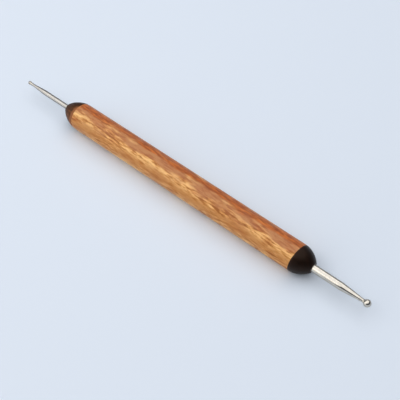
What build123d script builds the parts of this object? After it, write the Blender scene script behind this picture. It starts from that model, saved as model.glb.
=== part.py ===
from build123d import *
from collections import namedtuple
import math
import os

# A double-ended ball stylus, for embossing paper and for dotting paint or clay.
# It lies along X with its large ball towards +X, and +Z is up. The origin is on its axis,
# midway along the wooden handle. Sizes are in millimetres and angles in degrees.

# Wooden handle: a dowel whose two ends are turned to a dome and cut off square at the tip
handle_length = 96.5
handle_diameter = 9.0
large_dome_length = 5.9
small_dome_length = 7.0
tip_face_diameter = 3.4

# How far the spline surface of a dome may stand off its true arc
dome_tolerance = 0.0000003

# Dark lacquer that each end is dipped in, with its dip line part of the way up the dome
lacquer_thickness = 0.08
large_dip_depth = 5.3
small_dip_depth = 5.5

# Blind bores, a little wider than the shanks, and the glue that fills them
glue_gap = 0.1
glue_pocket_length = 0.8
drill_point_angle = 118.0

# Steel shank of the large end. Its lengths are counted from the handle's wooden tip face.
large_shank_diameter = 2.4
large_buried_length = 16.0
large_straight_length = 9.5
large_cone_length = 7.2
large_neck_length = 0.35
large_neck_diameter = 1.06

# Steel shank of the small end
small_shank_diameter = 1.6
small_buried_length = 14.0
small_straight_length = 11.15
small_cone_length = 4.65
small_neck_length = 2.05
small_neck_diameter = 0.9

# V flutes rolled into the tail of a shank, which key it to the glue
flute_depth = 0.12
flute_angle = 90.0
flute_pitch = 0.9
flute_length = 9.0
tail_chamfer = 0.2

# Steel balls, and the braze that flares each neck into its ball
large_ball_diameter = 2.28
large_braze_width = 0.3
small_ball_diameter = 1.24
small_braze_width = 0.22

# How far a flute's cutting solid runs past the end of the shank
overrun = 1.0

handle_radius = handle_diameter / 2
dome_drop = (handle_diameter - tip_face_diameter) / 2

# Each end is modelled along its own +X with its wooden tip face at X 0, and then put in its place.
End = namedtuple(
    "End",
    "place dome dip_depth shank_radius bore_radius buried straight cone neck neck_radius ball_radius braze_width",
)
large_end = End(
    place=Pos(handle_length / 2, 0, 0),
    dome=large_dome_length,
    dip_depth=large_dip_depth,
    shank_radius=large_shank_diameter / 2,
    bore_radius=large_shank_diameter / 2 + glue_gap,
    buried=large_buried_length,
    straight=large_straight_length,
    cone=large_cone_length,
    neck=large_neck_length,
    neck_radius=large_neck_diameter / 2,
    ball_radius=large_ball_diameter / 2,
    braze_width=large_braze_width,
)
small_end = End(
    place=Pos(-handle_length / 2, 0, 0) * Rot(Y=180),
    dome=small_dome_length,
    dip_depth=small_dip_depth,
    shank_radius=small_shank_diameter / 2,
    bore_radius=small_shank_diameter / 2 + glue_gap,
    buried=small_buried_length,
    straight=small_straight_length,
    cone=small_cone_length,
    neck=small_neck_length,
    neck_radius=small_neck_diameter / 2,
    ball_radius=small_ball_diameter / 2,
    braze_width=small_braze_width,
)


def turned(outline):
    """The solid that a closed outline in the XY plane makes when it turns once round the X axis."""
    return revolve(make_face(outline), Axis.X)


def domed(outline):
    """A turned solid with its domes carried as spline surfaces, which take far fewer facets."""
    return turned(outline).to_splines(tolerance=dome_tolerance).fix()


def polar(centre, radius, angle):
    """The point of the XY plane at a distance and an angle from a centre."""
    turn = math.radians(angle)
    return Vector(centre.X + radius * math.cos(turn), centre.Y + radius * math.sin(turn))


def dome_radius(end):
    """The radius of the arc that runs level out of the dowel and drops to the rim of the tip face."""
    return (end.dome**2 + dome_drop**2) / (2 * dome_drop)


def dome_angle(end, depth):
    """Where on a dome's arc a depth behind the wooden tip face lies: 90 is where the dowel begins."""
    return math.degrees(math.acos((end.dome - depth) / dome_radius(end)))


def dome_arc(end, lift, start_angle, end_angle):
    """A stretch of a dome's outline, grown outwards by lift. Its wooden tip face is at X 0."""
    centre = Vector(-end.dome, handle_radius - dome_radius(end))
    angles = (start_angle, (start_angle + end_angle) / 2, end_angle)
    return ThreePointArc(*[polar(centre, dome_radius(end) + lift, angle) for angle in angles])


def bore_floor(end):
    """The corners of a shank's bore at its drilled end: the drill's point, and the foot of the wall."""
    foot = -(end.buried + glue_pocket_length)
    point = foot - end.bore_radius / math.tan(math.radians(drill_point_angle / 2))
    return Vector(point, 0), Vector(foot, end.bore_radius)


def wooden_handle():
    """The dowel with a dome and a blind bore at each end, turned from one outline."""
    small_shoulder = (small_dome_length - handle_length / 2, handle_radius)
    large_shoulder = (handle_length / 2 - large_dome_length, handle_radius)
    outline = Curve() + Line(small_shoulder, large_shoulder)
    for end in (large_end, small_end):
        point, foot = bore_floor(end)
        dome = dome_arc(end, 0, 90, dome_angle(end, 0))
        inner = Polyline(dome @ 1, (0, end.bore_radius), foot, point, (-handle_length / 2, 0))
        outline += end.place * (dome + inner)
    return domed(outline)


def dip_coat(end):
    """The film of lacquer over one dome, from its dip line to the mouth of the bore."""
    rim = Vector(0, tip_face_diameter / 2)
    rim_angle = dome_angle(end, 0)
    dip_angle = dome_angle(end, end.dip_depth)
    inside = dome_arc(end, 0, rim_angle, dip_angle)
    outside = dome_arc(end, lacquer_thickness, dip_angle, rim_angle)
    corner = [polar(rim, lacquer_thickness, angle) for angle in (rim_angle, rim_angle / 2, 0)]
    face = Polyline(corner[-1], (lacquer_thickness, end.bore_radius), (0, end.bore_radius), rim)
    return domed(inside + Line(inside @ 1, outside @ 0) + outside + ThreePointArc(*corner) + face)


def ball_centre(end):
    """Where the middle of the ball is, with the neck's rim cupped against it."""
    seat_depth = math.sqrt(end.ball_radius**2 - end.neck_radius**2)
    return Vector(end.straight + end.cone + end.neck + seat_depth, 0)


def flutes(end):
    """The V grooves of the fluted tail. They run out through its end."""
    count = round(2 * math.pi * end.shank_radius / flute_pitch)
    spread = 2 * flute_depth * math.tan(math.radians(flute_angle / 2))
    vee = Polyline((0, -flute_depth), (-spread, flute_depth), (spread, flute_depth), close=True)
    across = Plane.YZ.offset(-end.buried - overrun) * Pos(0, end.shank_radius, 0)
    groove = extrude(across * make_face(vee), flute_length + overrun)
    return [Rot(X=360 * number / count) * groove for number in range(count)]


def shank(end):
    """A steel pin: fluted tail, straight stretch, ground cone, neck, and a cup that seats the ball."""
    centre = ball_centre(end)
    cup_angle = math.degrees(math.asin(end.neck_radius / end.ball_radius))
    cup_floor = polar(centre, end.ball_radius, 180)
    neck_rim = Vector(end.straight + end.cone + end.neck, end.neck_radius)
    outline = Polyline(
        cup_floor,
        (-end.buried, 0),
        (-end.buried, end.shank_radius - tail_chamfer),
        (-end.buried + tail_chamfer, end.shank_radius),
        (end.straight, end.shank_radius),
        (end.straight + end.cone, end.neck_radius),
        neck_rim,
    )
    outline += ThreePointArc(neck_rim, polar(centre, end.ball_radius, 180 - cup_angle / 2), cup_floor)
    return turned(outline) - flutes(end)


def ball(end):
    """A polished steel ball."""
    return Pos(ball_centre(end)) * Sphere(end.ball_radius)


def braze(end):
    """The ring that fills the corner between neck and ball with a plain flare."""
    centre = ball_centre(end)
    corner = Vector(end.straight + end.cone + end.neck, end.neck_radius)
    corner_angle = 180 - math.degrees(math.asin(end.neck_radius / end.ball_radius))
    span = math.degrees(end.braze_width / end.ball_radius)
    seat = [polar(centre, end.ball_radius, corner_angle - span * share) for share in (0, 1 / 2, 1)]
    neck_start = corner - Vector(min(end.braze_width, end.neck), 0)
    return turned(ThreePointArc(*seat) + Polyline(seat[-1], neck_start, corner))


def glue_sleeve(end):
    """The glue that fills the bore round, behind and between the flutes of a shank."""
    mouth = [(lacquer_thickness, end.bore_radius), (lacquer_thickness, 0)]
    return turned(Polyline(*bore_floor(end), *mouth, close=True)) - shank(end)


nodes = {"wooden_handle": wooden_handle()}
for name, end in (("large", large_end), ("small", small_end)):
    nodes[f"{name}_end_dip_coat"] = end.place * dip_coat(end)
    nodes[f"{name}_shank"] = end.place * shank(end)
    nodes[f"{name}_ball"] = end.place * ball(end)
    nodes[f"{name}_ball_braze"] = end.place * braze(end)
    nodes[f"{name}_glue_sleeve"] = end.place * glue_sleeve(end)

os.makedirs("parts", exist_ok=True)
for node, shape in nodes.items():
    export_step(shape, f"parts/{node}.step")

length = (ball_centre(large_end) + ball_centre(small_end)).X + handle_length
length += large_end.ball_radius + small_end.ball_radius
print(f"{len(nodes)} nodes, {length:.2f} mm from ball to ball")
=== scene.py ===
# %% [markdown]
# # A double-ended embossing stylus
# A wooden handle with a dark dipped dome at each end, and in each dome a steel shank that carries
# a polished ball. The construction was modelled first, at its real size. It arrives here as a fixed
# frame, and this notebook dresses it: it turns smooth meshes for the pieces that show, builds their
# finishes from nodes, and lights them like a small studio shot.
#
# Everything is in metres. The stylus lies along X, with its large ball towards +X and +Z up.

# %% The frame
import math
from collections import namedtuple

import bmesh
import bpy
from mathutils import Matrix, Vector, noise


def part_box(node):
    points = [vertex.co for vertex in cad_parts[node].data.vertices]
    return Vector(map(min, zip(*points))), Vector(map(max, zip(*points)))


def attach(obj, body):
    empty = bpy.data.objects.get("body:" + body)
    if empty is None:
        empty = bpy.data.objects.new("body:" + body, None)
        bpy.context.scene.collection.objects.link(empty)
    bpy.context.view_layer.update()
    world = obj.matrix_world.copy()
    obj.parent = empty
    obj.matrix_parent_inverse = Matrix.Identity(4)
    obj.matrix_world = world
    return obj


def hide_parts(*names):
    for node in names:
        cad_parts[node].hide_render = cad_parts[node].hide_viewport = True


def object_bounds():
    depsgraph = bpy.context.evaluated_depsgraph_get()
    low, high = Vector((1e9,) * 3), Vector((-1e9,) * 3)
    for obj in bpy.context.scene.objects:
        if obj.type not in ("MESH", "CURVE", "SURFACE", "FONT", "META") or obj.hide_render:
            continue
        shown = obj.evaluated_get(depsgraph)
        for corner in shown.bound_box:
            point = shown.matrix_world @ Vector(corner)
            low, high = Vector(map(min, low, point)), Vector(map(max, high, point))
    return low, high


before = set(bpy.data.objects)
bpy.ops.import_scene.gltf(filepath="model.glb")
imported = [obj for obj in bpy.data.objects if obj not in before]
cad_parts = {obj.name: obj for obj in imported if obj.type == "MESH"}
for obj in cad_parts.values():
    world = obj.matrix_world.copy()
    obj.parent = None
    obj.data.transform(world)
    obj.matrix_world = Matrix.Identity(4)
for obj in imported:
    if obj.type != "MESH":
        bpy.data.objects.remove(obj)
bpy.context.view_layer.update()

mm = 0.001
print("nodes:", sorted(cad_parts))

# %% [markdown]
# ## Sizes
# The handle's two tip faces are read from the frame, and every other place is counted from them, so
# that each mesh sits where its node is. The other sizes are the real ones again, in millimetres times
# `mm`. They could be measured on the nodes, but a faceted node is a little thinner than the round
# piece that it stands for.

# %% Sizes
handle_radius = 4.5 * mm
large_dome_length = 5.9 * mm
small_dome_length = 7.0 * mm
tip_face_radius = 1.7 * mm
lacquer_thickness = 0.08 * mm
glue_gap = 0.1 * mm

handle_low, handle_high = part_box("wooden_handle")
handle_length = handle_high.x - handle_low.x
dome_drop = handle_radius - tip_face_radius


def dome_arc_radius(dome_length):
    """The radius of the arc that runs level out of the dowel and drops to the rim of a tip face."""
    return (dome_length**2 + dome_drop**2) / (2 * dome_drop)


for dome_length in (large_dome_length, small_dome_length):
    radius = dome_arc_radius(dome_length)
    print("a dome", round(dome_length / mm, 2), "mm long has an arc of radius", round(radius / mm, 2), "mm")

# %% [markdown]
# ## The camera
# A product shot from above and to the right, with a moderately long lens. A camera can be placed by
# three coordinates and three angles, but those are hard to judge. Here it stands round an aim point,
# as a photographer would describe it: by a bearing, a height and a distance.

# %% Camera
camera_bearing = math.radians(39.34)
camera_height = math.radians(53.35)
camera_distance = 251.5 * mm
aim_point = Vector((8.05, -1.33, -0.76)) * mm
lens_length = 75.24
sensor_width = 36
nearest_view = 10 * mm


def direction(bearing, height):
    """A unit vector. Its bearing is counted from -Y, positive towards +X, and both are in radians."""
    level = math.cos(height)
    return Vector((math.sin(bearing) * level, -math.cos(bearing) * level, math.sin(height)))


def look_back(piece, towards):
    """Turns a camera or a lamp to face against a direction, and links it to the scene."""
    piece.rotation_mode = "QUATERNION"
    piece.rotation_quaternion = (-towards).to_track_quat("-Z", "Y")
    bpy.context.collection.objects.link(piece)


towards_camera = direction(camera_bearing, camera_height)
camera = bpy.data.objects.new("camera", bpy.data.cameras.new("camera"))
camera.data.lens = lens_length
camera.data.sensor_width = sensor_width
camera.data.clip_start = nearest_view
camera.location = aim_point + towards_camera * camera_distance
look_back(camera, towards_camera)
bpy.context.scene.camera = camera
print("camera at", [round(value / mm, 1) for value in camera.location], "mm")

# %% [markdown]
# ## Helpers for nodes
# Both kinds of node tree, the one that makes shapes and the one that makes finishes, could be wired
# by hand, with three or four lines for each node. They are easier to read when adding a node,
# setting its inputs and linking it is one line. An input goes by its name, or by its number after an
# underscore where several inputs share a name.


# %% Node helpers
def add(tree, kind, settings=None, **inputs):
    """A new node. settings are its properties. inputs are values, or output sockets to link."""
    node = tree.nodes.new(kind)
    for name, value in (settings or {}).items():
        setattr(node, name, value)
    for name, value in inputs.items():
        number = name[1:]
        socket = node.inputs[int(number)] if number.isdigit() else node.inputs[name.replace("_", " ")]
        if isinstance(value, bpy.types.NodeSocket):
            tree.links.new(value, socket)
        else:
            socket.default_value = value
    return node


def maths(tree, operation, first, second=0.0, third=0.0):
    """The result of one Math node."""
    inputs = {"_0": first, "_1": second, "_2": third}
    return add(tree, "ShaderNodeMath", {"operation": operation}, **inputs).outputs[0]


def vector_maths(tree, operation, first, output="Vector", **inputs):
    """The result of one Vector Math node."""
    return add(tree, "ShaderNodeVectorMath", {"operation": operation}, _0=first, **inputs).outputs[output]


def remap(tree, value, low, high, to_low=0.0, to_high=1.0, curve="LINEAR"):
    """A value between low and high, moved to between two other limits and held there."""
    inputs = {"Value": value, "_1": low, "_2": high, "_3": to_low, "_4": to_high}
    return add(tree, "ShaderNodeMapRange", {"interpolation_type": curve}, **inputs).outputs["Result"]


print("node helpers: add, maths, vector_maths, remap")

# %% [markdown]
# ## Helpers for whole trees
# A node group is worth its trouble when its sizes have names, so that one tree serves several
# pieces. A geometry tree could stay on its piece as a live modifier. Here its result is kept as a
# plain mesh instead, because other programs can only read that.


# %% Tree helpers
def new_group(name, kind, inputs, outputs):
    """An empty node group with named sockets. Each is given by its default, or by its type in words."""
    tree = bpy.data.node_groups.new(name, kind)
    for in_out, sockets in (("INPUT", inputs), ("OUTPUT", outputs)):
        for socket_name, given in sockets.items():
            type_name = {float: "Float", int: "Int"}.get(type(given), given)
            socket_type = f"NodeSocket{type_name}"
            socket = tree.interface.new_socket(socket_name, in_out=in_out, socket_type=socket_type)
            if type_name != given:
                socket.default_value = given
    ends = tree.nodes.new("NodeGroupInput"), tree.nodes.new("NodeGroupOutput")
    return tree, ends[0].outputs, ends[1].inputs


def apply_nodes(piece, tree, **values):
    """Runs a geometry node tree on a piece and keeps the result as its plain mesh."""
    modifier = piece.modifiers.new(tree.name, "NODES")
    modifier.node_group = tree
    for item in tree.interface.items_tree:
        if item.in_out == "INPUT" and item.name.replace(" ", "_") in values:
            modifier[item.identifier] = values[item.name.replace(" ", "_")]
    bpy.context.view_layer.update()
    evaluated = piece.evaluated_get(bpy.context.evaluated_depsgraph_get())
    mesh = bpy.data.meshes.new_from_object(evaluated)
    mesh.name = piece.name
    piece.modifiers.remove(modifier)
    piece.data = mesh
    return piece


print("tree helpers: new_group, apply_nodes")

# %% [markdown]
# ## Grain streaks
# Wood is made of fibres that run the length of a dowel, so its pattern changes several times faster
# across the dowel than along it. A wave texture would make even stripes, which look printed. A noise
# that is stretched along X keeps the fibres uneven. The wood needs it at several sizes and the
# lacquer and the glue at one each, so it is a group with named sizes and a seed.


# %% Grain streaks
def grain_streaks_group():
    """A value that changes slowly along X and quickly across it."""
    tree, given, result = new_group(
        "grain streaks",
        "ShaderNodeTree",
        {"Length": 20 * mm, "Width": 1 * mm, "Slant": 0.02, "Detail": 3.0, "Seed": 0.0},
        {"Value": "Float"},
    )
    place = add(tree, "ShaderNodeTexCoord").outputs["Object"]
    axes = add(tree, "ShaderNodeSeparateXYZ", Vector=place).outputs
    across = maths(tree, "DIVIDE", 1.0, given["Width"])
    slanted = maths(tree, "MULTIPLY_ADD", axes["X"], given["Slant"], axes["Y"])
    point = add(
        tree,
        "ShaderNodeCombineXYZ",
        X=maths(tree, "DIVIDE", axes["X"], given["Length"]),
        Y=maths(tree, "MULTIPLY", slanted, across),
        Z=maths(tree, "MULTIPLY", axes["Z"], across),
    ).outputs[0]
    texture = add(
        tree,
        "ShaderNodeTexNoise",
        {"noise_dimensions": "4D"},
        Vector=point,
        W=given["Seed"],
        Scale=1.0,
        Detail=given["Detail"],
        Roughness=0.55,
    )
    tree.links.new(texture.outputs["Fac"], result["Value"])
    return tree


grain_streaks = grain_streaks_group()
print("group", grain_streaks.name, "with", len(grain_streaks.nodes), "nodes")

# %% [markdown]
# ## Handling marks
# Hands and a bench leave two things on any smooth surface: faint cloudy smears in the gloss, and a
# few hair scratches. Smears could be painted by hand, but a soft noise does for all pieces at once.
# It moves the roughness between two limits. The scratches are the thin lines between the cells of a
# stretched Voronoi texture, and they come out as a height for a Bump node.


# %% Handling marks
def handling_marks_group():
    """Cloudy smears for a finish's roughness, and fine scratches for its height."""
    tree, given, result = new_group(
        "handling marks",
        "ShaderNodeTree",
        {"Smear Size": 4 * mm, "Low Roughness": 0.2, "High Roughness": 0.4, "Scratch Spacing": 1.2 * mm},
        {"Roughness": "Float", "Height": "Float"},
    )
    place = add(tree, "ShaderNodeTexCoord").outputs["Object"]
    smear_scale = maths(tree, "DIVIDE", 1.0, given["Smear Size"])
    smears = add(tree, "ShaderNodeTexNoise", Vector=place, Scale=smear_scale, Detail=3.0, Roughness=0.6)
    limits = {"to_low": given["Low Roughness"], "to_high": given["High Roughness"]}
    rough = remap(tree, smears.outputs["Fac"], low=0.35, high=0.68, **limits)
    turned = add(tree, "ShaderNodeMapping", Vector=place, Rotation=(0.4, 0.9, 0.3), Scale=(1.0, 0.12, 1.0))
    cells = add(
        tree,
        "ShaderNodeTexVoronoi",
        {"feature": "DISTANCE_TO_EDGE"},
        Vector=turned.outputs[0],
        Scale=maths(tree, "DIVIDE", 1.0, given["Scratch Spacing"]),
    )
    scratch = remap(tree, cells.outputs["Distance"], low=0.0, high=0.03)
    tree.links.new(rough, result["Roughness"])
    tree.links.new(scratch, result["Height"])
    return tree


handling_marks = handling_marks_group()
print("group", handling_marks.name, "with", len(handling_marks.nodes), "nodes")

# %% [markdown]
# ## A finish starts the same way
# Each material is one Principled BSDF. Values that are the same all over the surface are set on its
# own sockets, and only what changes from place to place comes from nodes. Nodes could give every
# value, but one on its own socket is quick to find and to change.


# %% Material helpers
def new_finish(name, **constants):
    """A material with its shader's constants set. Returns the material, its tree and its shader."""
    material = bpy.data.materials.new(name)
    material.use_nodes = True
    tree = material.node_tree
    shader = tree.nodes["Principled BSDF"]
    for socket, value in constants.items():
        shader.inputs[socket.replace("_", " ")].default_value = value
    return material, tree, shader


def use_group(tree, group, **inputs):
    """The outputs of a group node in a material, with its own values."""
    return add(tree, "ShaderNodeGroup", {"node_tree": group}, **inputs).outputs


def wire(tree, shader, **sources):
    """Links node outputs to a shader's inputs, each by the input's name."""
    for name, source in sources.items():
        tree.links.new(source, shader.inputs[name.replace("_", " ")])


def mixed(tree, amount, first, second):
    """The first colour turned into the second by an amount. A Mix node's colours are inputs 6 and 7."""
    return add(tree, "ShaderNodeMix", {"data_type": "RGBA"}, _0=amount, _6=first, _7=second).outputs[2]


def ramp(tree, factor, stops):
    """A colour ramp. Each stop is (place, colour)."""
    node = add(tree, "ShaderNodeValToRGB", Fac=factor)
    elements = node.color_ramp.elements
    while len(elements) < len(stops):
        elements.new(0.5)
    for element, (place, colour) in zip(elements, stops):
        element.position = place
        element.color = (*colour, 1)
    return node.outputs["Color"]


def bump(tree, height, distance, strength, onto=None):
    """The normal from one Bump node, laid over another normal where one is given."""
    inputs = {"Height": height, "Distance": distance, "Strength": strength}
    if onto:
        inputs["Normal"] = onto
    return add(tree, "ShaderNodeBump", **inputs).outputs["Normal"]


def streaks_of(tree, length, width, slant, detail, seed):
    """The value of one use of the grain streaks."""
    sizes = {"Length": length, "Width": width, "Slant": slant, "Detail": detail, "Seed": seed}
    return use_group(tree, grain_streaks, **sizes)["Value"]


print("material helpers: new_finish, use_group, wire, mixed, ramp, bump, streaks_of")

# %% [markdown]
# ## Stains and painted shade in the wood
# A dowel is cut across several growth rings, so its colour changes round it. Red and rosy streaks
# lie all over this one and crowd near its top, which is painted shade of the top, and it is amber a
# quarter turn from there. The colours could be painted in bands, but the real ones have ragged
# borders. So each colour follows streaks, and a zone on one side of the dowel pulls those streaks
# up, so that more of them pass the limit where the colour begins.

# %% Stains and painted shade
light_wood = (0.96, 0.56, 0.21)
mid_wood = (0.66, 0.285, 0.072)
deep_wood = (0.36, 0.105, 0.016)
orange_stain_and_shade = (0.62, 0.155, 0.018)
red_stain_and_shade = (0.30, 0.060, 0.010)
rosy_stain_and_shade = (0.43, 0.148, 0.058)
amber_stain = (0.50, 0.175, 0.034)
pore_colour = (0.16, 0.05, 0.012)
# The red and rosy colours crowd towards this side: painted shade of the dowel's top.
shaded_top_side = Vector((0, 0.375, 0.927))
sap_side = Vector((0, -0.94, 0.34))


def side_zone(tree, side, start, end):
    """0 to 1 on one side of the dowel, between two shares of its radius towards that side."""
    place = add(tree, "ShaderNodeTexCoord").outputs["Object"]
    reach = vector_maths(tree, "DOT_PRODUCT", place, "Value", _1=side)
    return remap(tree, reach, low=start * handle_radius, high=end * handle_radius)


def stain_and_shade_mask(tree, streaks, zone, pull, low, high, strength):
    """Where a stain, and near the top painted shade, lies: on strong streaks, and on weaker ones in its
    zone.
    """
    pulled = maths(tree, "MULTIPLY_ADD", zone, pull, streaks)
    return remap(tree, pulled, low=low, high=high, to_high=strength)


# The side printed as the heartwood side is the top, where the red is painted shade.
print("heartwood side", tuple(shaded_top_side), "sapwood side", tuple(sap_side))

# %% [markdown]
# ## Varnished wood
# The handle is a stained hardwood dowel under a satin varnish. Broad bands and narrow fibres, added
# together, choose between three browns. Over them lie a rosy colour and a red one, both denser near
# the top as painted shade, then an amber stain at the sapwood, and last the short dark pores. An
# image of real wood would repeat or show a seam on a round dowel, and streaks in 3-D do neither. The
# varnish is a thin and smooth coat with a gloss of its own. Only the wood under it has relief.


# %% Varnished wood
def varnished_wood_finish():
    """Stained, streaky wood under satin varnish."""
    material, tree, shader = new_finish(
        "varnished_wood",
        IOR=1.45,
        Specular_IOR_Level=0.3,
        Coat_Weight=0.1,
        Coat_Roughness=0.35,
        Coat_IOR=1.45,
    )
    bands = streaks_of(tree, 11 * mm, 1.4 * mm, slant=0.03, detail=3.0, seed=3.0)
    fibres = streaks_of(tree, 3 * mm, 0.6 * mm, slant=0.05, detail=4.0, seed=11.0)
    pores = streaks_of(tree, 1.4 * mm, 0.15 * mm, slant=0.03, detail=1.0, seed=5.0)
    red_streaks = streaks_of(tree, 7 * mm, 1.8 * mm, slant=-0.02, detail=3.0, seed=21.0)
    rosy_streaks = streaks_of(tree, 11 * mm, 2.2 * mm, slant=0.04, detail=2.0, seed=33.0)

    tone = maths(tree, "MULTIPLY_ADD", fibres, 0.58, maths(tree, "MULTIPLY", bands, 0.42))
    wood = ramp(tree, tone, [(0.40, deep_wood), (0.47, mid_wood), (0.55, light_wood)])

    # Rosy and red streaks, pulled up towards the top: partly stain, partly painted shade.
    near_top_shade = side_zone(tree, shaded_top_side, start=0.55, end=0.85)
    rosy = stain_and_shade_mask(tree, rosy_streaks, near_top_shade, pull=0.24, low=0.53, high=0.7, strength=0.8)
    wood = mixed(tree, rosy, wood, (*rosy_stain_and_shade, 1))

    top_shade = side_zone(tree, shaded_top_side, start=0.9, end=0.985)
    red = stain_and_shade_mask(tree, red_streaks, top_shade, pull=0.28, low=0.56, high=0.74, strength=0.85)
    wood = mixed(tree, red, wood, ramp(tree, fibres, [(0.4, red_stain_and_shade), (0.62, orange_stain_and_shade)]))

    sap = side_zone(tree, sap_side, start=0.8, end=1.0)
    amber = stain_and_shade_mask(tree, bands, sap, pull=0.2, low=0.49, high=0.7, strength=0.78)
    wood = mixed(tree, maths(tree, "MULTIPLY", amber, sap), wood, (*amber_stain, 1))

    pore = remap(tree, pores, low=0.36, high=0.28, to_high=0.45)
    wood = mixed(tree, pore, wood, (*pore_colour, 1))

    marks = use_group(tree, handling_marks, Smear_Size=6 * mm, Low_Roughness=0.4, High_Roughness=0.58)
    relief = bump(tree, tone, distance=0.06 * mm, strength=0.6)
    relief = bump(tree, pores, distance=0.03 * mm, strength=0.5, onto=relief)
    wire(tree, shader, Base_Color=wood, Roughness=marks["Roughness"], Normal=relief)
    return material


varnished_wood = varnished_wood_finish()
print("finish", varnished_wood.name, "with", len(varnished_wood.node_tree.nodes), "nodes")

# %% [markdown]
# ## Dark lacquer
# Both ends were dipped in a nearly black brown lacquer, which shows the wood's red where it is thin.
# Real transparency would need a film of true glass over the wood, and costs many samples for so
# little. Here one value says how far the film can be seen through, and a ramp turns it into a
# colour. The film is thin next to its dip line, where it drained, in faint streaks, and at the small
# end all down one side. That end is also browner and less glossy, so the two ends are two finishes.
# Its browner colour, most of all down that side, is partly a thinner film and partly painted light
# on the side that faces the front lamp.

# %% Dark lacquer
lacquer_tint = (1.0, 0.7, 0.55, 1)
# The side where the small end's film is thin, and lighter as painted light from the front lamp.
worn_and_lit_side = Vector((0.0, -0.9, 0.436))
drained_share = 0.3


def dark_lacquer_finish(name, thick, thin, drained_off, dip_line, rise, gloss, worn_and_lit=0.0):
    """Lacquer that drained thin at its dip line, at one X, and is thick again after a rise."""
    material, tree, shader = new_finish(name, IOR=1.4, Specular_Tint=lacquer_tint, Specular_IOR_Level=gloss)
    place = add(tree, "ShaderNodeTexCoord").outputs["Object"]
    along = add(tree, "ShaderNodeSeparateXYZ", Vector=place).outputs["X"]
    drained = remap(tree, along, low=dip_line, high=dip_line + rise, to_low=1.0, to_high=0.0)
    streaks = streaks_of(tree, 4 * mm, 0.9 * mm, slant=0.0, detail=2.0, seed=8.0)
    clouds = remap(tree, streaks, low=0.4, high=0.7, to_high=0.25)
    # Down one side the film is thinner, and its lighter colour there is partly painted light.
    sideways = vector_maths(tree, "DOT_PRODUCT", place, "Value", _1=worn_and_lit_side)
    worn_and_lit_off = remap(tree, sideways, low=1.0 * mm, high=3.6 * mm, to_high=worn_and_lit)
    drained = maths(tree, "MULTIPLY", drained, maths(tree, "ADD", worn_and_lit_off, drained_share))
    see_through = maths(tree, "ADD", drained, maths(tree, "ADD", worn_and_lit_off, clouds))
    colour = ramp(tree, see_through, [(0.0, thick), (0.6, thin), (1.0, drained_off)])
    marks = use_group(tree, handling_marks, Smear_Size=3 * mm, Low_Roughness=0.34, High_Roughness=0.5)
    relief = bump(tree, streaks, distance=0.03 * mm, strength=0.5)
    wire(tree, shader, Base_Color=colour, Roughness=marks["Roughness"], Normal=relief)
    return material


large_lacquer = dark_lacquer_finish(
    "dark_lacquer_large",
    thick=(0.004, 0.0013, 0.0006),
    thin=(0.018, 0.006, 0.003),
    drained_off=(0.05, 0.014, 0.009),
    dip_line=handle_high.x - 5.4 * mm,
    rise=1.0 * mm,
    gloss=0.33,
)
# The small end's browner colours are partly a thinner film and partly painted light.
small_lacquer_thin_and_lit = dark_lacquer_finish(
    "dark_lacquer_small",
    thick=(0.022, 0.005, 0.0005),
    thin=(0.085, 0.036, 0.016),
    drained_off=(0.30, 0.11, 0.045),
    dip_line=handle_low.x + 5.5 * mm,
    rise=-1.6 * mm,
    gloss=0.1,
    worn_and_lit=0.6,
)
print("finishes", large_lacquer.name, small_lacquer_thin_and_lit.name)

# %% [markdown]
# ## Steel and braze
# The shanks and balls are bright polished steel. The shanks were turned, which leaves fine rings
# round them, and the balls were lapped, which leaves none. An anisotropic shader could stretch the
# highlights too, but it needs a tangent on every piece. A bump that changes only along X gives much
# the same look and follows every taper. The small end's steel is a darker, greyer copy of the same
# steel, which is painted shade, and it is also duller. Every metal has a dark edge tint, painted
# shade that dims its reflection near its outline. The braze is a warmer and rougher metal.

# %% Steel and braze
# A dark edge tint: painted shade that dims the metal's reflection near its outline.
painted_dark_edge_tint = (0.3, 0.28, 0.26, 1)
steel_colour = (0.69, 0.645, 0.57)
# The small end's steel is a darker copy of the same steel: painted shade.
shaded_small_steel_colour = (0.46, 0.44, 0.41)
braze_colour = (0.56, 0.51, 0.42)
dull_share = 0.82
ring_pitch = 0.04 * mm


def metal_finish(name, colour, low, high, pitch=0.0):
    """A bare metal between two roughnesses, with fine turning rings where a pitch is given."""
    material, tree, shader = new_finish(name, Metallic=1.0, Specular_Tint=painted_dark_edge_tint)
    marks = use_group(tree, handling_marks, Smear_Size=1.5 * mm, Low_Roughness=low, High_Roughness=high)
    place = add(tree, "ShaderNodeTexCoord").outputs["Object"]
    clouds = add(tree, "ShaderNodeTexNoise", Vector=place, Scale=900.0, Detail=2.0).outputs["Fac"]
    dull = [dull_share * channel for channel in colour]
    tint = mixed(tree, remap(tree, clouds, low=0.3, high=0.7), (*colour, 1), (*dull, 1))
    normal = bump(tree, marks["Height"], distance=0.002 * mm, strength=0.25)
    if pitch:
        along = add(tree, "ShaderNodeSeparateXYZ", Vector=place).outputs["X"]
        turns = maths(tree, "DIVIDE", along, pitch)
        rings = add(tree, "ShaderNodeTexNoise", {"noise_dimensions": "1D"}, W=turns, Scale=1.0, Detail=2.0)
        normal = bump(tree, rings.outputs["Fac"], distance=0.0015 * mm, strength=0.3, onto=normal)
    wire(tree, shader, Base_Color=tint, Roughness=marks["Roughness"], Normal=normal)
    return material


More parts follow.
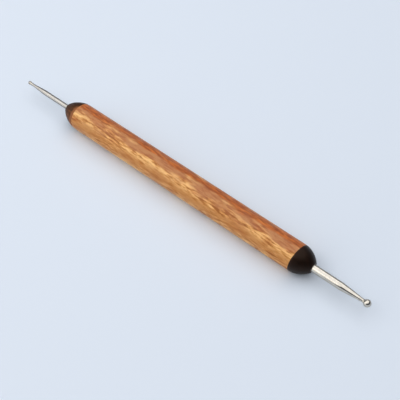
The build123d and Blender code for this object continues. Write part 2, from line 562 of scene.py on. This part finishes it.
shank_steel = {
    "large": metal_finish("polished_steel_large_shank", steel_colour, 0.06, 0.11, ring_pitch),
    "small": metal_finish("polished_steel_small_shank", shaded_small_steel_colour, 0.12, 0.2, ring_pitch),
}
ball_steel = {
    "large": metal_finish("polished_steel_large_ball", steel_colour, 0.04, 0.08),
    "small": metal_finish("polished_steel_small_ball", shaded_small_steel_colour, 0.06, 0.12),
}
braze_metal = metal_finish("braze", braze_colour, 0.25, 0.4)
print("finishes", [metal.name for metal in (*shank_steel.values(), *ball_steel.values(), braze_metal)])

# %% [markdown]
# ## Glue
# The glue is the amber kind, set hard. Only a thin ring of it shows round each shank, so a plain
# gloss with a few cloudy streaks does, where a thick lump of glue would need light to pass through.


# %% Glue
def glue_finish():
    """Amber glue with a few cloudy streaks."""
    material, tree, shader = new_finish("glue", IOR=1.5)
    streaks = streaks_of(tree, 3 * mm, 0.6 * mm, slant=0.0, detail=1.0, seed=2.0)
    colour = ramp(tree, streaks, [(0.35, (0.2, 0.1, 0.03)), (0.65, (0.42, 0.25, 0.09))])
    marks = use_group(tree, handling_marks, Smear_Size=2 * mm, Low_Roughness=0.25, High_Roughness=0.4)
    wire(tree, shader, Base_Color=colour, Roughness=marks["Roughness"])
    return material


glue = glue_finish()
print("finish", glue.name, "with", len(glue.node_tree.nodes), "nodes")

# %% [markdown]
# ## A rule for the dowel
# A dowel with two domed ends follows one rule: its radius depends only on the place along its axis.
# That makes it a good job for Geometry Nodes, where a lathe in code would need the rule written out
# as points. Past each shoulder the radius drops as an arc of a circle does. Between the shoulders
# both drops are zero, so one sum holds for the whole length.


# %% The dowel's radius
def dowel_radius(tree, given, half, along):
    """The radius at a place along the axis: the dowel's own, less what each dome takes off."""
    radius = given["Radius"]
    for size, side in (("Large", 1.0), ("Small", -1.0)):
        arc_radius = given[f"{size} Dome Radius"]
        shoulder = maths(tree, "SUBTRACT", half, given[f"{size} Dome Length"])
        beyond = maths(tree, "SUBTRACT", maths(tree, "MULTIPLY", along, side), shoulder)
        past = maths(tree, "POWER", maths(tree, "MAXIMUM", beyond, 0.0), 2.0)
        squares = maths(tree, "SUBTRACT", maths(tree, "POWER", arc_radius, 2.0), past)
        drop = maths(tree, "SUBTRACT", arc_radius, maths(tree, "SQRT", squares))
        radius = maths(tree, "SUBTRACT", radius, drop)
    return radius


def crowded_line(tree, half, count):
    """A line along X whose points are crowded towards its two ends by a sine."""
    line = add(tree, "GeometryNodeCurvePrimitiveLine", Start=(-1.0, 0, 0), End=(1.0, 0, 0)).outputs[0]
    line = add(tree, "GeometryNodeResampleCurve", Curve=line, Count=count).outputs[0]
    place = add(tree, "GeometryNodeInputPosition").outputs[0]
    share = add(tree, "ShaderNodeSeparateXYZ", Vector=place).outputs["X"]
    crowded = maths(tree, "SINE", maths(tree, "MULTIPLY", share, math.pi / 2))
    point = add(tree, "ShaderNodeCombineXYZ", X=maths(tree, "MULTIPLY", crowded, half)).outputs[0]
    return add(tree, "GeometryNodeSetPosition", Geometry=line, Position=point).outputs[0]


print("dowel helpers: dowel_radius, crowded_line")

# %% [markdown]
# ## The dowel's tree
# The points of the line are crowded towards the two ends, since that is where the shape curves. Each
# point gets its radius from the rule, and Curve to Mesh sweeps a circle along the line. A slow noise
# then takes a few hundredths of a millimetre off here and there, as hand sanding does. It only ever
# takes away, so the dowel stays inside its true size.

# %% The dowel's tree
sanding_scale = 70.0


def sanded(tree, body, depth):
    """Moves the skin of a body towards the X axis, by up to a depth."""
    place = add(tree, "GeometryNodeInputPosition").outputs[0]
    bumps = add(tree, "ShaderNodeTexNoise", Vector=place, Scale=sanding_scale, Detail=1.0).outputs["Fac"]
    inward = maths(tree, "MULTIPLY", maths(tree, "MULTIPLY", bumps, depth), -1.0)
    outwards = add(tree, "GeometryNodeInputNormal").outputs[0]
    across = vector_maths(tree, "MULTIPLY", outwards, _1=(0.0, 1.0, 1.0))
    offset = vector_maths(tree, "SCALE", across, Scale=inward)
    return add(tree, "GeometryNodeSetPosition", Geometry=body, Offset=offset).outputs[0]


def finished(tree, body, material):
    """A body as one real mesh with its material."""
    body = add(tree, "GeometryNodeRealizeInstances", Geometry=body).outputs[0]
    return add(tree, "GeometryNodeSetMaterial", Geometry=body, Material=material).outputs[0]


def dowel_tree():
    """A turned dowel with a dome at each end, made from its named sizes."""
    tree, given, result = new_group(
        "turned dowel",
        "GeometryNodeTree",
        {
            "Geometry": "Geometry",
            "Length": 100 * mm,
            "Radius": 5 * mm,
            "Large Dome Length": 6 * mm,
            "Large Dome Radius": 8 * mm,
            "Small Dome Length": 6 * mm,
            "Small Dome Radius": 8 * mm,
            "Rings": 161,
            "Sides": 96,
            "Sanding": 0.0,
            "Material": "Material",
        },
        {"Geometry": "Geometry"},
    )
    half = maths(tree, "MULTIPLY", given["Length"], 0.5)
    line = crowded_line(tree, half, given["Rings"])
    place = add(tree, "GeometryNodeInputPosition").outputs[0]
    along = add(tree, "ShaderNodeSeparateXYZ", Vector=place).outputs["X"]
    radius = dowel_radius(tree, given, half, along)
    circle = add(tree, "GeometryNodeCurvePrimitiveCircle", Resolution=given["Sides"], Radius=1.0).outputs[0]
    swept = {"Curve": line, "Profile_Curve": circle, "Scale": radius, "Fill_Caps": True}
    body = add(tree, "GeometryNodeCurveToMesh", **swept).outputs[0]
    body = sanded(tree, body, given["Sanding"])
    tree.links.new(finished(tree, body, given["Material"]), result["Geometry"])
    return tree


dowel = dowel_tree()
print("tree", dowel.name, "with", len(dowel.nodes), "nodes")

# %% [markdown]
# ## The wooden handle
# The tree runs on an empty mesh, because it draws its own line. Its result is kept as a plain mesh.
# Smooth shading would smear light over the rims of the flat tip faces, so edges sharper than a
# limit are marked as sharp. The bores of the real handle are left out here, because shanks and
# lacquer cover them.


# %% The wooden handle
def new_piece(name, mesh=None):
    """An object at the origin, linked to the scene."""
    piece = bpy.data.objects.new(name, mesh or bpy.data.meshes.new(name))
    bpy.context.collection.objects.link(piece)
    return piece


def finish_mesh(piece, node, sharp=35):
    """Shades a piece, prints its size, hangs it on the root body and hides the node that it stands for."""
    mesh = piece.data
    mesh.shade_smooth()
    mesh.set_sharp_from_angle(angle=math.radians(sharp))
    triangles = sum(len(polygon.vertices) - 2 for polygon in mesh.polygons)
    measure = bmesh.new()
    measure.from_mesh(mesh)
    volume = measure.calc_volume(signed=True)
    measure.free()
    print(piece.name, triangles, "triangles,", round(volume / mm**3, 3), "cubic mm")
    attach(piece, "root")
    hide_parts(node)


handle = apply_nodes(
    new_piece("handle"),
    dowel,
    Length=handle_length,
    Radius=handle_radius,
    Large_Dome_Length=large_dome_length,
    Large_Dome_Radius=dome_arc_radius(large_dome_length),
    Small_Dome_Length=small_dome_length,
    Small_Dome_Radius=dome_arc_radius(small_dome_length),
    Rings=161,
    Sides=128,
    Sanding=0.03 * mm,
    Material=varnished_wood,
)
finish_mesh(handle, node="wooden_handle")

# %% [markdown]
# ## The lathe
# Shanks, balls and braze rings are all turned pieces: one outline, swung once round the axis. The
# Screw modifier can do that too, but its doubled points on the axis and at the seam have to be
# merged afterwards. This lathe takes the outline as (x, radius) pairs and builds the rings of faces
# between them. Where a radius is zero, the ring is a single point on the axis.


# %% The lathe
def face_outwards(shape):
    """Turns all faces of a closed shape outwards. A thin ring can come out inside out at first."""
    bmesh.ops.recalc_face_normals(shape, faces=shape.faces)
    if shape.calc_volume(signed=True) < 0:
        bmesh.ops.reverse_faces(shape, faces=shape.faces)


def piece_from(shape, name, material):
    """A piece whose mesh is a closed shape, with its faces outwards."""
    face_outwards(shape)
    mesh = bpy.data.meshes.new(name)
    shape.to_mesh(mesh)
    shape.free()
    mesh.materials.append(material)
    return new_piece(name, mesh)


def lathe(name, outline, material, sides=96, ring=False):
    """A piece turned from an outline. With ring, the outline's last point joins its first."""
    shape = bmesh.new()
    rings = []
    for x, radius in outline:
        count = 1 if radius == 0 else sides
        turns = [2 * math.pi * side / sides for side in range(count)]
        circle = [(x, radius * math.cos(turn), radius * math.sin(turn)) for turn in turns]
        rings.append([shape.verts.new(point) for point in circle])
    pairs = list(zip(rings, rings[1:])) + ([(rings[-1], rings[0])] if ring else [])
    for first, second in pairs:
        for side in range(sides):
            after = (side + 1) % sides
            corners = [first[side % len(first)], second[side % len(second)]]
            corners += [second[after % len(second)], first[after % len(first)]]
            shape.faces.new(list(dict.fromkeys(corners)))
    return piece_from(shape, name, material)


def arc(centre_x, centre_r, radius, start, end, steps):
    """Outline points on an arc, between two angles in degrees counted from +X towards the rim."""
    turns = [math.radians(start + (end - start) * step / steps) for step in range(steps + 1)]
    points = [(centre_x + radius * math.cos(turn), centre_r + radius * math.sin(turn)) for turn in turns]
    return [(x, max(height, 0)) for x, height in points]


print("lathe helpers: face_outwards, piece_from, lathe, arc")

# %% [markdown]
# ## The two ends
# The two ends are the same design in two sizes, so every piece of an end is made by one function
# that reads its sizes from a record. Each end is drawn along its own +X, with its wooden tip face at
# 0, and then put in its place: the large one at the +X end, the small one turned round.

# %% The sizes of the ends
lengths = "dome_length dip_depth dip_lean buried straight cone neck braze_width"
radii = "shank_radius neck_radius ball_radius"


class End(namedtuple("Sizes", f"name side dip_bearing {lengths} {radii}")):
    """The sizes of one end, in metres, with the places that follow from them."""

    @property
    def dome_radius(self):
        """The radius of the dome's arc."""
        return dome_arc_radius(self.dome_length)

    @property
    def cone_end(self):
        """Where the cone becomes the neck."""
        return self.straight + self.cone

    @property
    def neck_end(self):
        """Where the rim of the neck's cup touches the ball."""
        return self.cone_end + self.neck

    @property
    def ball_x(self):
        """Where the middle of the ball is."""
        return self.neck_end + math.sqrt(self.ball_radius**2 - self.neck_radius**2)

    def dome_height(self, depth):
        """The radius of the wooden dome at a depth behind its tip face."""
        back = max(self.dome_length - depth, 0)
        return handle_radius - self.dome_radius + math.sqrt(self.dome_radius**2 - back**2)

    def place(self, piece):
        """Moves a mesh that was drawn along the end's own +X to where the end is."""
        tip = handle_high.x if self.side > 0 else handle_low.x
        for vertex in piece.data.vertices:
            vertex.co.x = tip + self.side * vertex.co.x
            vertex.co.y = self.side * vertex.co.y
        return piece


large = End(
    name="large",
    side=1,
    dome_length=large_dome_length,
    dip_depth=5.3 * mm,
    dip_lean=0.45 * mm,
    dip_bearing=math.radians(180),
    shank_radius=1.2 * mm,
    buried=16 * mm,
    straight=9.5 * mm,
    cone=7.2 * mm,
    neck=0.35 * mm,
    neck_radius=0.53 * mm,
    ball_radius=1.14 * mm,
    braze_width=0.3 * mm,
)
small = End(
    name="small",
    side=-1,
    dome_length=small_dome_length,
    dip_depth=5.5 * mm,
    dip_lean=0.35 * mm,
    dip_bearing=math.radians(240),
    shank_radius=0.8 * mm,
    buried=14 * mm,
    straight=11.15 * mm,
    cone=4.65 * mm,
    neck=2.05 * mm,
    neck_radius=0.45 * mm,
    ball_radius=0.62 * mm,
    braze_width=0.22 * mm,
)

# %% [markdown]
# ## The edge of a dip
# A dip line is never quite square or straight: the stylus was held by hand, and the lacquer crept a
# little along the grain. A plain ring would look like paint behind masking tape. So the depth of the
# dip leans to one side and wanders with a little noise, and the film starts at nothing there and
# swells to a small bead, as lacquer does when it dries.

# %% The edge of a dip
wander = 0.07 * mm
rise_length = 0.16 * mm
bead_place = 0.35 * mm
bead_width = 0.25 * mm
bead_share = 0.18


def dip_depth(end, turn):
    """How deep the film reaches behind the tip face, in one direction round the axis."""
    wobble = noise.noise(Vector((2 * math.cos(turn), 2 * math.sin(turn), end.side * 5.0)))
    return end.dip_depth + end.dip_lean * math.cos(turn - end.dip_bearing) + wander * wobble


def film_thickness(from_line):
    """The film's thickness at a distance from its dip line, with a small bead near it."""
    body = lacquer_thickness * (1 - math.exp(-from_line / rise_length))
    bead = math.exp(-(((from_line - bead_place) / bead_width) ** 2))
    return body * (1 - bead_share + bead_share * bead)


first_steps = [film_thickness(0.2 * mm * step) for step in range(5)]
print("film in mm, at 0.2 mm steps from its edge:", [round(thick / mm, 3) for thick in first_steps])

# %% [markdown]
# ## The dipped films
# A film could be the dome's skin with a Solidify modifier, but its thickness changes, and its inner
# wall has to lie on the wood. So it is built from slices round the axis. Each slice runs out over
# the dome and its rim to the mouth of the bore, and back along the wood.


# %% The dipped films
def film_outline(end, turn, steps=26):
    """One slice of the film: out over its outer face, and back along the wood."""
    depth = dip_depth(end, turn)
    outer, inner = [], []
    for step in range(steps + 1):
        at = depth * (1 - step / steps)
        thick = film_thickness(depth - at)
        slope = math.asin(max(end.dome_length - at, 0) / end.dome_radius)
        outer.append((-at + thick * math.sin(slope), end.dome_height(at) + thick * math.cos(slope)))
        inner.append((-at, end.dome_height(at)))
    mouth = end.shank_radius + glue_gap
    top = lacquer_thickness
    rim_angle = math.degrees(math.acos(end.dome_length / end.dome_radius))
    corner = arc(0, tip_face_radius, top, rim_angle, 0, steps=5)[1:]
    face = [(top, mouth + (tip_face_radius - mouth) * share) for share in (2 / 3, 1 / 3, 0.0)]
    return outer + corner + face + [(0.0, mouth), (0.0, tip_face_radius)] + inner[-2:0:-1]


def film_piece(end, material, sides=128):
    """The film of one end, as a ring of slices."""
    shape = bmesh.new()
    slices = []
    for side in range(sides):
        turn = 2 * math.pi * side / sides
        rows = film_outline(end, turn)
        slices.append([shape.verts.new((x, r * math.cos(turn), r * math.sin(turn))) for x, r in rows])
    for first, second in zip(slices, slices[1:] + slices[:1]):
        for row in range(len(first)):
            after = (row + 1) % len(first)
            shape.faces.new((first[row], first[after], second[after], second[row]))
    return piece_from(shape, f"{end.name}_dipped_film", material)


for end, material in ((large, large_lacquer), (small, small_lacquer_thin_and_lit)):
    film = end.place(film_piece(end, material))
    finish_mesh(film, node=f"{end.name}_end_dip_coat")

# %% [markdown]
# ## Flutes in a shank's tail
# Flutes rolled into the buried tail key a shank to the glue. Cutting each one with a Boolean would
# leave a tangle of thin faces. They repeat evenly round the pin, so a small node tree presses them
# in instead: it takes the distance from each point to its nearest flute, and moves the point inwards
# by what a V of that depth would.

# %% The flutes' tree
skin_share = 0.7


def flute_tree():
    """Presses V grooves into the part of a turned piece that lies between two places along X."""
    tree, given, result = new_group(
        "rolled flutes",
        "GeometryNodeTree",
        {
            "Geometry": "Geometry",
            "Count": 10,
            "Depth": 0.12 * mm,
            "Radius": 1 * mm,
            "Start": 0.0,
            "End": 1.0,
            "Material": "Material",
        },
        {"Geometry": "Geometry"},
    )
    place = add(tree, "GeometryNodeInputPosition").outputs[0]
    axes = add(tree, "ShaderNodeSeparateXYZ", Vector=place).outputs
    turn = maths(tree, "ARCTAN2", axes["Z"], axes["Y"])
    pitch = maths(tree, "DIVIDE", 2 * math.pi, given["Count"])
    off_flute = maths(tree, "PINGPONG", turn, maths(tree, "MULTIPLY", pitch, 0.5))
    sideways = maths(tree, "MULTIPLY", off_flute, given["Radius"])
    groove = maths(tree, "MAXIMUM", maths(tree, "SUBTRACT", given["Depth"], sideways), 0.0)

    across = vector_maths(tree, "MULTIPLY", place, _1=(0.0, 1.0, 1.0))
    outwards = vector_maths(tree, "NORMALIZE", across)
    reach = vector_maths(tree, "LENGTH", across, "Value")
    after = maths(tree, "GREATER_THAN", axes["X"], given["Start"])
    before = maths(tree, "LESS_THAN", axes["X"], given["End"])
    on_skin = maths(tree, "GREATER_THAN", reach, maths(tree, "MULTIPLY", given["Radius"], skin_share))
    mask = maths(tree, "MULTIPLY", maths(tree, "MULTIPLY", after, before), on_skin)

    inward = maths(tree, "MULTIPLY", maths(tree, "MULTIPLY", groove, mask), -1.0)
    offset = vector_maths(tree, "SCALE", outwards, Scale=inward)
    body = add(tree, "GeometryNodeSetPosition", Geometry=given["Geometry"], Offset=offset).outputs[0]
    tree.links.new(finished(tree, body, given["Material"]), result["Geometry"])
    return tree


flutes = flute_tree()
print("tree", flutes.name, "with", len(flutes.nodes), "nodes")

# %% [markdown]
# ## The shanks
# A shank is a steel pin: a tail inside the handle, a straight stretch, a ground cone and a thin neck
# whose end is cupped to seat the ball. Its stretches could be cylinders and cones set end to end,
# but the real pin is turned from one rod, so it comes off the lathe in one piece, with 16 sides for
# each flute. Edges count as sharp from a lower angle here, because the bend at a flute's lip can be
# shared by two edges.

# %% The shanks
tail_chamfer = 0.2 * mm
flute_length = 9.0 * mm
flute_pitch = 0.9 * mm
flute_depth = 0.12 * mm
sides_per_flute = 16
overrun = 1 * mm
short_of_ring = 0.01 * mm


def spread(start, end, steps):
    """Outline points on a straight stretch, without its last one."""
    return [tuple(a + (b - a) * step / steps for a, b in zip(start, end)) for step in range(steps)]


def shank_outline(end):
    """From the middle of the tail's end face to the bottom of the cup."""
    tail = -end.buried
    stops = [
        (tail + tail_chamfer, end.shank_radius),
        (tail + flute_length, end.shank_radius),
        (end.straight, end.shank_radius),
        (end.cone_end, end.neck_radius),
        (end.neck_end, end.neck_radius),
    ]
    points = [(tail, 0), (tail, end.shank_radius - tail_chamfer)]
    for start, stop, steps in zip(stops, stops[1:], (8, 10, 24, 4)):
        points += spread(start, stop, steps)
    cup_angle = math.degrees(math.asin(end.neck_radius / end.ball_radius))
    cup = arc(end.ball_x, 0, end.ball_radius, 180 - cup_angle, 180, steps=8)
    return points + cup[:-1] + [(cup[-1][0], 0)]


for end in (large, small):
    count = round(2 * math.pi * end.shank_radius / flute_pitch)
    steel = shank_steel[end.name]
    pin = lathe(f"{end.name}_pin", shank_outline(end), steel, sides=sides_per_flute * count)
    apply_nodes(
        pin,
        flutes,
        Count=count,
        Depth=flute_depth,
        Radius=end.shank_radius,
        Start=-end.buried - overrun,
        End=-end.buried + flute_length - short_of_ring,
        Material=steel,
    )
    finish_mesh(end.place(pin), node=f"{end.name}_shank", sharp=20)

# %% [markdown]
# ## Balls and braze
# The balls are bearing balls. A bearing ball is as round as anything can be made, so an honest model
# of it is a true sphere, turned here with rings that are even in angle. The braze has wetted the
# neck and the ball and drawn into a hollow fillet between them. A Bevel modifier can't round the
# corner between two pieces, so the fillet is a ring of its own, whose outer line is a Bezier curve
# pulled halfway into the corner.

# %% Balls and braze
hollow_share = 0.5
ball_rings = 48


def braze_outline(end, steps=10):
    """A hollow fillet from the neck to the ball, closed along the cup's rim."""
    rim_angle = 180 - math.degrees(math.asin(end.neck_radius / end.ball_radius))
    span = math.degrees(end.braze_width / end.ball_radius)
    seat = arc(end.ball_x, 0, end.ball_radius, rim_angle, rim_angle - span, steps)
    start = (end.neck_end - min(end.braze_width, end.neck), end.neck_radius)
    corner = (end.neck_end, end.neck_radius)
    middle = [(a + b) / 2 for a, b in zip(start, seat[-1])]
    control = tuple(m * (1 - hollow_share) + c * hollow_share for m, c in zip(middle, corner))
    flare = []
    for step in range(steps + 1):
        share = step / steps
        weights = ((1 - share) ** 2, 2 * share * (1 - share), share**2)
        points = (seat[-1], control, start)
        flare.append(tuple(sum(w * p[axis] for w, p in zip(weights, points)) for axis in (0, 1)))
    return seat + flare[1:]


for end in (large, small):
    half_circle = arc(end.ball_x, 0, end.ball_radius, 180, 0, ball_rings)
    ball = lathe(f"{end.name}_steel_ball", half_circle, ball_steel[end.name])
    finish_mesh(end.place(ball), node=f"{end.name}_ball")
    fillet = lathe(f"{end.name}_braze_fillet", braze_outline(end), braze_metal, ring=True)
    finish_mesh(end.place(fillet), node=f"{end.name}_ball_braze")

# %% [markdown]
# ## Glue sleeves
# The glue sleeves stay as they come from the frame, since all that shows of them is a thin ring
# round each shank. Rounder meshes would gain nothing there. They only need their finish.

# %% Glue sleeves
for end in (large, small):
    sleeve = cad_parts[f"{end.name}_glue_sleeve"]
    sleeve.data.materials.clear()
    sleeve.data.materials.append(glue)
    print(sleeve.name, "keeps its own mesh")

# %% [markdown]
# ## The floor
# The stylus lies on a plain pale floor. The lamps reach only its middle, so from a low angle its far
# part would sink into the dark. More light would fix that, but it would bleach the stylus too. So
# the far part glows by itself, for the camera's rays only, also by way of metal or through glass. It
# is seen, and it lights nothing.

# %% The floor
floor_colour = (0.76, 0.83, 0.93)
floor_reach = 8.0
glow_start = 0.2
glow_full = 1.5
glow_strength = 0.72


def seen_directly(tree):
    """1 for what the camera sees, also in metal or through glass, and 0 for light on a surface."""
    rays = add(tree, "ShaderNodeLightPath").outputs
    seen = maths(tree, "MAXIMUM", rays["Is Camera Ray"], rays["Is Glossy Ray"])
    return maths(tree, "MAXIMUM", seen, rays["Is Transmission Ray"])


def pale_floor_finish():
    """A matt floor whose far part glows."""
    material, tree, shader = new_finish("pale_floor", Roughness=0.9, IOR=1.3, Emission_Strength=1.0)
    shader.inputs["Base Color"].default_value = (*floor_colour, 1)
    place = add(tree, "ShaderNodeTexCoord").outputs["Object"]
    away = vector_maths(tree, "LENGTH", place, "Value")
    unlit = remap(tree, away, low=glow_start, high=glow_full, curve="SMOOTHSTEP")
    glow = maths(tree, "MULTIPLY", maths(tree, "MULTIPLY", seen_directly(tree), unlit), glow_strength)
    wire(tree, shader, Emission_Color=mixed(tree, glow, (0, 0, 0, 1), (*floor_colour, 1)))
    return material


floor_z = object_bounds()[0].z
corners = [(x * floor_reach, y * floor_reach, floor_z) for x, y in ((-1, -1), (1, -1), (1, 1), (-1, 1))]
floor_mesh = bpy.data.meshes.new("floor")
floor_mesh.from_pydata(corners, [], [(0, 1, 2, 3)])
floor_mesh.materials.append(pale_floor_finish())
floor = new_piece("floor", floor_mesh)
print("floor at", round(floor_z / mm, 2), "mm")

# %% [markdown]
# ## The lamps
# Three soft lamps, as in a small studio. The main one stands low at the front left and gives the
# steel its long highlights. One hangs overhead and evens out the wood, and a faint one behind draws
# the far edges. A sun or a point lamp would be simpler, but polished steel mirrors a lamp's shape,
# and theirs would be a dot.


# %% The lamps
def softbox(name, bearing, height, distance, size, brightness, shape="RECTANGLE"):
    """A soft lamp that faces the stylus, from a bearing and a height in degrees."""
    lamp = bpy.data.lights.new(name, "AREA")
    lamp.shape = shape
    lamp.size, lamp.size_y = size
    area = size[0] * size[1] * (math.pi / 4 if shape == "DISK" else 1)
    lamp.energy = brightness * math.pi * area
    towards = direction(math.radians(bearing), math.radians(height))
    piece = bpy.data.objects.new(name, lamp)
    piece.location = towards * distance
    look_back(piece, towards)
    return piece


front = softbox("front_softbox", bearing=-42, height=27, distance=0.9, size=(1.1, 1.0), brightness=1.25)
front.data.color = (1.0, 0.985, 0.96)
overhead = softbox(
    "top_softbox", bearing=-110, height=82, distance=0.7, size=(1.4, 1.4), brightness=1.25, shape="DISK"
)
behind = softbox("back_softbox", bearing=-175, height=40, distance=1.0, size=(1.2, 0.5), brightness=0.5)
print("lamps:", [(lamp.name, round(lamp.data.energy, 2)) for lamp in (front, overhead, behind)])

# %% [markdown]
# ## The room
# The rest of the room is dim, because polished steel only looks like steel when it has something
# dark to reflect beside something bright. An image of a real room could do that too, but a plain
# room keeps the eye on the stylus. A pale haze lies along the horizon, so that a low view has a pale
# background too. Like the floor's glow, it is seen and lights nothing.

# %% The room
room_colour = (0.85, 0.9, 1.0, 1)
room_brightness = 0.12
haze_brightness = 0.82
haze_top = 0.22
haze_full = 0.04

room = bpy.data.worlds.new("studio")
room.use_nodes = True
sky = room.node_tree
sky.nodes["Background"].inputs["Color"].default_value = room_colour
outwards = add(sky, "ShaderNodeTexCoord").outputs["Generated"]
above_horizon = add(sky, "ShaderNodeSeparateXYZ", Vector=outwards).outputs["Z"]
haze = remap(sky, above_horizon, low=haze_top, high=haze_full, curve="SMOOTHSTEP")
haze = maths(sky, "MULTIPLY", seen_directly(sky), haze)
brightness = maths(sky, "MULTIPLY_ADD", haze, haze_brightness - room_brightness, room_brightness)
sky.links.new(brightness, sky.nodes["Background"].inputs["Strength"])
bpy.context.scene.world = room
bpy.context.scene.view_settings.view_transform = "Standard"
print("room", room.name, "with", len(sky.nodes), "nodes")
